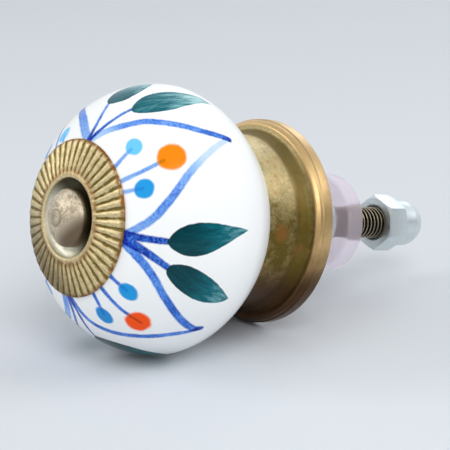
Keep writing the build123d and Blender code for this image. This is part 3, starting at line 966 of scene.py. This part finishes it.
def antique_brass(colours):
    """Turned brass, darkened with liver of sulphur and rubbed on its high edges.

    The eye sees a paler top that is painted light, painted shade towards the bottom, olive clouds on
    the wall and in the cove, one brown stain, a bright bead and rim, fine marks of the lathe, and the
    whiter shine of old lacquer.
    """
    material, tree = new_material("turned brass, antiqued")
    place, _, y, height, radius = round_coordinates(tree)
    clouds = add(tree, "TexNoise", {"Vector": place, "Scale": 0.3, "Detail": 5.0, "Roughness": 0.62})
    fine = add(tree, "TexNoise", {"Vector": place, "Scale": 1.6, "Detail": 5.0, "Roughness": 0.72})
    # painted light: the top is paler, as lit from above; clouds and mottle of wear break it up
    top_painted_light = add(tree, "MapRange", height, -1.0, 11.0, 0.05, 0.9, **SOFT)
    cloudy = add(tree, "MapRange", clouds, 0.3, 0.7, -0.35, 0.35)
    worn = add(tree, "Math", top_painted_light, cloudy, operation="ADD")
    mottle = add(tree, "MapRange", fine, 0.3, 0.7, -0.3, 0.3)
    worn = add(tree, "Math", worn, mottle, operation="ADD", use_clamp=True)
    # the cove keeps its dark olive patina
    cove_start = add(tree, "MapRange", y, -5.8, -4.7, **SOFT)
    cove_end = add(tree, "MapRange", radius, 14.6, 13.9, **SOFT)
    cove = add(tree, "Math", cove_start, cove_end, operation="MULTIPLY")
    kept = add(tree, "MapRange", cove, 0.0, 1.0, 1.0, 0.18)
    worn = add(tree, "Math", worn, kept, operation="MULTIPLY")
    # olive patina, paling to worn brass and, on the top, to painted light
    wall = add(tree, "Mix", {0: worn, 6: rgba(colours.plate_olive), 7: rgba(colours.plate_worn_and_lit)}, **IN_COLOUR)
    brown_share = add(tree, "MapRange", clouds, 0.54, 0.72, 0.0, 0.55, **SOFT)
    wall = add(tree, "Mix", {0: brown_share, 6: wall, 7: rgba(colours.plate_brown)}, **IN_COLOUR)
    # a drop dried on the wall and left a ragged brown stain
    drop = add(tree, "VectorMath", place, (13.15, -8.0, 0.9), operation="DISTANCE")
    drop_edge = add(tree, "Math", fine, 6.0, drop.outputs["Value"], operation="MULTIPLY_ADD")
    drop_share = add(tree, "MapRange", drop_edge, 4.9, 3.6, 0.0, 0.7, **SOFT)
    wall = add(tree, "Mix", {0: drop_share, 6: wall, 7: rgba(colours.plate_brown)}, **IN_COLOUR)
    rubbed = add(tree, "MapRange", radius, 14.4, 15.2, **SOFT)
    rubbed_share = add(tree, "MapRange", clouds, 0.7, 0.4, 0.45, 1.0)
    bright = add(tree, "Math", rubbed, rubbed_share, operation="MULTIPLY")
    edged = add(tree, "Mix", {0: bright, 6: wall, 7: rgba(colours.plate_bright)}, **IN_COLOUR)
    # the band behind the bead is a little brown; painted shade darkens the bead and rim towards their bottom,
    # and the whole plate near its bottom
    on_band = add(tree, "MapRange", radius, 15.6, 15.76, 0.0, 0.2, **SOFT)
    low_side_shade = add(tree, "MapRange", height, 1.5, -7.5, 0.0, 0.97, **SOFT)
    under = add(tree, "Math", on_band, low_side_shade, operation="MAXIMUM")
    under = add(tree, "Math", under, rubbed, operation="MULTIPLY")
    # painted shade near the bottom of the plate
    foot = add(tree, "MapRange", height, -2.5, -9.0, 0.0, 0.9, **SOFT)
    under = add(tree, "Math", under, foot, operation="MAXIMUM")
    edged = add(tree, "Mix", {0: under, 6: edged, 7: rgba(colours.plate_band_brown_and_shade)}, **IN_COLOUR)
    lathe_at = add(tree, "CombineXYZ", {"X": radius, "Y": y})
    lathe = add(tree, "TexNoise", {"Vector": lathe_at, "Scale": 5.0, "Detail": 3.0})
    relief = add(tree, "Math", lathe, fine, operation="ADD")
    bump = add(tree, "Bump", {"Strength": 0.35, "Distance": 0.05 * MM, "Height": relief})
    roughness = add(tree, "MapRange", bright, 0.0, 1.0, 0.55, 0.38)
    shader = add(tree, "BsdfPrincipled",
                 {"Base Color": edged, "Metallic": 1.0, "Roughness": roughness, "Normal": bump,
                  "Coat Weight": 0.25, "Coat Roughness": 0.3})
    add(tree, "OutputMaterial", {"Surface": shader})
    return material


def zinc_plating(colours):
    """Bright zinc plating on pressed steel.

    The eye sees a pale, slightly blue metal with soft reflections and faint mottling.
    """
    material, tree = new_material("zinc-plated steel")
    place = place_in_mm(tree)
    mottle = add(tree, "TexNoise", {"Vector": place, "Scale": 1.2, "Detail": 4.0})
    metal = add(tree, "Mix", {0: mottle, 6: rgba(colours.zinc), 7: rgba([c * 0.8 for c in colours.zinc])},
                **IN_COLOUR)
    roughness = add(tree, "MapRange", mottle, 0.0, 1.0, 0.32, 0.52)
    shader = add(tree, "BsdfPrincipled", {"Base Color": metal, "Metallic": 1.0, "Roughness": roughness})
    add(tree, "OutputMaterial", {"Surface": shader})
    return material


def clear_vinyl(colours):
    """Soft clear vinyl, cut from rod.

    The eye sees a milky ring with a faint pink tint, which hardly bends the light behind it.
    """
    material, tree = new_material("clear soft vinyl")
    place = place_in_mm(tree)
    drag = add(tree, "TexNoise", {"Vector": place, "Scale": 0.6, "Detail": 2.0})
    bump = add(tree, "Bump", {"Strength": 0.2, "Distance": 0.1 * MM, "Height": drag})
    shader = add(tree, "BsdfPrincipled",
                 {"Base Color": rgba(colours.clear_plastic), "Roughness": 0.28, "IOR": 1.1,
                  "Transmission Weight": 0.76, "Normal": bump})
    add(tree, "OutputMaterial", {"Surface": shader})
    return material


# Operators

class KNOB_OT_ceramic(bpy.types.Operator):
    """Model the glazed ceramic ball and paint it"""
    bl_idname = "knob.ceramic"
    bl_label = "Ceramic Ball"

    def execute(self, context):
        scene = context.scene
        ball = model_ball(scene.knob_sizes)
        finish_piece(ball, "ceramic_body", glazed_ceramic(scene.knob_colours), 50)
        return {"FINISHED"}


class KNOB_OT_rosette(bpy.types.Operator):
    """Model the pressed brass rosette"""
    bl_idname = "knob.rosette"
    bl_label = "Rosette"

    def execute(self, context):
        scene = context.scene
        rosette = model_rosette(scene.knob_sizes)
        finish_piece(rosette, "front_cap", pressed_brass(scene.knob_colours), 60)
        return {"FINISHED"}


class KNOB_OT_bolt(bpy.types.Operator):
    """Model the domed bolt with its thread"""
    bl_idname = "knob.bolt"
    bl_label = "Bolt"

    def execute(self, context):
        scene = context.scene
        bolt = model_bolt(scene.knob_sizes)
        finish_piece(bolt, "bolt", aged_brass(scene.knob_colours))
        return {"FINISHED"}


class KNOB_OT_backplate(bpy.types.Operator):
    """Model the turned brass backplate"""
    bl_idname = "knob.backplate"
    bl_label = "Backplate"

    def execute(self, context):
        scene = context.scene
        plate = model_backplate()
        finish_piece(plate, "backplate", antique_brass(scene.knob_colours))
        return {"FINISHED"}


class KNOB_OT_fasteners(bpy.types.Operator):
    """Model the flat washer, the clear washer and the cap nut"""
    bl_idname = "knob.fasteners"
    bl_label = "Washers and Nut"

    def execute(self, context):
        scene = context.scene
        sizes, colours = scene.knob_sizes, scene.knob_colours
        zinc = zinc_plating(colours)
        flat = model_washer("flat_steel_washer", FLAT_LOW, FLAT_HIGH, FLAT_HOLE, FLAT_EDGE, 96)
        finish_piece(flat, "flat_washer", zinc)
        clear = model_washer("clear_vinyl_washer", CLEAR_LOW, CLEAR_HIGH, sizes.shank, CLEAR_EDGE, 128)
        finish_piece(clear, "clear_washer", clear_vinyl(colours), 60)
        nut = model_nut(sizes)
        finish_piece(nut, "cap_nut", zinc, 30)
        return {"FINISHED"}


def studio_floor(colours):
    """Pale paper sweep: matt, even, and seen from above only."""
    material, tree = new_material("matt paper sweep")
    behind = add(tree, "NewGeometry")
    paper = add(tree, "BsdfDiffuse", {"Color": rgba(colours.floor)})
    clear = add(tree, "BsdfTransparent")
    sheet = add(tree, "MixShader", behind.outputs["Backfacing"], paper.outputs[0], clear.outputs[0])
    add(tree, "OutputMaterial", {"Surface": sheet})
    return material


def softbox(name, place, aim, size, power):
    """Round white softbox at place, facing aim."""
    bpy.ops.object.select_all(action="DESELECT")
    bpy.ops.object.light_add(type="AREA", location=place)
    made = bpy.context.object
    made.name = name
    made.data.shape = "DISK"
    made.data.size = size
    made.data.energy = power
    made.rotation_euler = (aim - place).to_track_quat("-Z", "Y").to_euler()


# The camera as it stood to the knob, in mm, with the direction it looks in and its upward side
CAMERA_PLACE = (198.36, -183.63, 41.85)
CAMERA_AHEAD = (-0.7386, 0.6553, -0.1586)
CAMERA_UP = (-0.2181, -0.0096, 0.9759)
CAMERA_LENS = 140.3                 # mm
CAMERA_SENSOR = 36.0                # mm wide
FLOOR_SIZE = 6.0
FLOOR_TILT = math.radians(11.23)    # the knob lies on its ball and its rim
FLOOR_DROP = -15.83 * MM            # where the floor passes below the backplate's rim

LAMPS_AIM_Y = -12 * MM              # the place on the axis that the lamps face
LAMP_DISTANCE = 0.8
# Softboxes: name, angle round the knob from the camera's side towards its right, height as an
# angle above the floor, diameter in metres and power in watts
LAMPS = (
    ("overhead_softbox", 0, 90, 0.8, 0.85),
    ("right_softbox", 90, 36, 0.46, 1.7),
    ("left_softbox", 269, 36, 0.36, 1.25),
    ("front_softbox", 14, 42, 0.5, 2.5),
    ("front_left_softbox", 312, 22, 0.7, 1.0),
    ("rear_softbox", 160, 30, 0.3, 0.5),
)
ROOM_LIGHT = 0.44                   # even light that the white room adds
FAR_SIDE = 1.28                     # the lit backdrop in reflections, against the floor's colour
NEAR_SIDE = 0.25                    # the darker side behind the camera


class KNOB_OT_stage(bpy.types.Operator):
    """Set up the floor, the lamps, the world and the camera"""
    bl_idname = "knob.stage"
    bl_label = "Studio"

    def execute(self, context):
        scene = context.scene
        colours = scene.knob_colours
        bpy.ops.object.select_all(action="DESELECT")
        bpy.ops.mesh.primitive_plane_add(
            size=FLOOR_SIZE, location=(0, 0, FLOOR_DROP), rotation=(FLOOR_TILT, 0, 0),
        )
        floor = bpy.context.object
        floor.name = "paper_sweep"
        bpy.ops.object.transform_apply(location=True, rotation=True, scale=True)
        floor.data.materials.append(studio_floor(colours))

        centre = Vector((0, LAMPS_AIM_Y, 0))
        up = Vector((0, -math.sin(FLOOR_TILT), math.cos(FLOOR_TILT)))
        ahead = Vector(CAMERA_AHEAD)
        right = ahead.cross(up).normalized()
        near = -(ahead - up * ahead.dot(up)).normalized()
        for name, turn, rise, size, power in LAMPS:
            turn, rise = math.radians(turn), math.radians(rise)
            way = (near * math.cos(turn) + right * math.sin(turn)) * math.cos(rise) + up * math.sin(rise)
            softbox(name, centre + way * LAMP_DISTANCE, centre, size, power)

        world = bpy.data.worlds.new("studio")
        scene.world = world
        world.use_nodes = True
        tree = world.node_tree
        tree.nodes.clear()
        path = add(tree, "LightPath")
        seen = add(tree, "Math", path.outputs["Is Camera Ray"], path.outputs["Is Glossy Ray"],
                   operation="ADD", use_clamp=True)
        seen = add(tree, "Math", seen, path.outputs["Is Transmission Ray"], operation="ADD", use_clamp=True)
        # reflections show the pale backdrop, and the darker side of the room behind the camera
        towards = add(tree, "TexCoord")
        facing = add(tree, "VectorMath", towards.outputs["Generated"], tuple(ahead),
                     operation="DOT_PRODUCT")
        far_side = add(tree, "MapRange", facing.outputs["Value"], -0.2, 0.5, **SOFT)
        far_side = add(tree, "Math", far_side, path.outputs["Is Camera Ray"], operation="MAXIMUM")
        backdrop = add(tree, "Mix",
                       {0: far_side, 6: rgba([NEAR_SIDE * c for c in colours.floor]),
                        7: rgba([FAR_SIDE * c for c in colours.floor])},
                       **IN_COLOUR)
        tone = add(tree, "Mix", {0: seen, 6: (ROOM_LIGHT, ROOM_LIGHT, ROOM_LIGHT, 1.0), 7: backdrop},
                   **IN_COLOUR)
        light = add(tree, "Background", {"Color": tone, "Strength": 1.0})
        add(tree, "OutputWorld", {"Surface": light.outputs[0]})

        bpy.ops.object.camera_add(location=Vector(CAMERA_PLACE) * MM)
        camera = bpy.context.object
        back = -ahead.normalized()
        side = Vector(CAMERA_UP).cross(back).normalized()
        camera.rotation_euler = Matrix((side, back.cross(side), back)).transposed().to_euler()
        camera.data.lens = CAMERA_LENS
        camera.data.sensor_width = CAMERA_SENSOR
        camera.data.clip_start = 0.01
        scene.camera = camera
        scene.view_settings.view_transform = "Standard"
        return {"FINISHED"}


class KNOB_PT_panel(bpy.types.Panel):
    """Lists the knob's pieces"""
    bl_idname = "KNOB_PT_panel"
    bl_label = "Painted Cabinet Knob"
    bl_space_type = "VIEW_3D"
    bl_region_type = "UI"
    bl_category = "Knob"

    def draw(self, context):
        for operator in OPERATORS:
            self.layout.operator(operator.bl_idname)
        for group in (context.scene.knob_sizes, context.scene.knob_colours):
            column = self.layout.column()
            for name in group.__annotations__:
                column.prop(group, name)


OPERATORS = (
    KNOB_OT_stage, KNOB_OT_ceramic, KNOB_OT_rosette, KNOB_OT_bolt, KNOB_OT_backplate, KNOB_OT_fasteners,
)
CLASSES = (KnobSizes, KnobColours) + OPERATORS + (KNOB_PT_panel,)


def register():
    for made in CLASSES:
        bpy.utils.register_class(made)
    bpy.types.Scene.knob_sizes = bpy.props.PointerProperty(type=KnobSizes)
    bpy.types.Scene.knob_colours = bpy.props.PointerProperty(type=KnobColours)


def unregister():
    del bpy.types.Scene.knob_colours
    del bpy.types.Scene.knob_sizes
    for made in reversed(CLASSES):
        bpy.utils.unregister_class(made)


def main():
    register()
    bpy.ops.knob.stage()
    bpy.ops.knob.ceramic()
    bpy.ops.knob.rosette()
    bpy.ops.knob.bolt()
    bpy.ops.knob.backplate()
    bpy.ops.knob.fasteners()


if __name__ == "__main__":
    main()
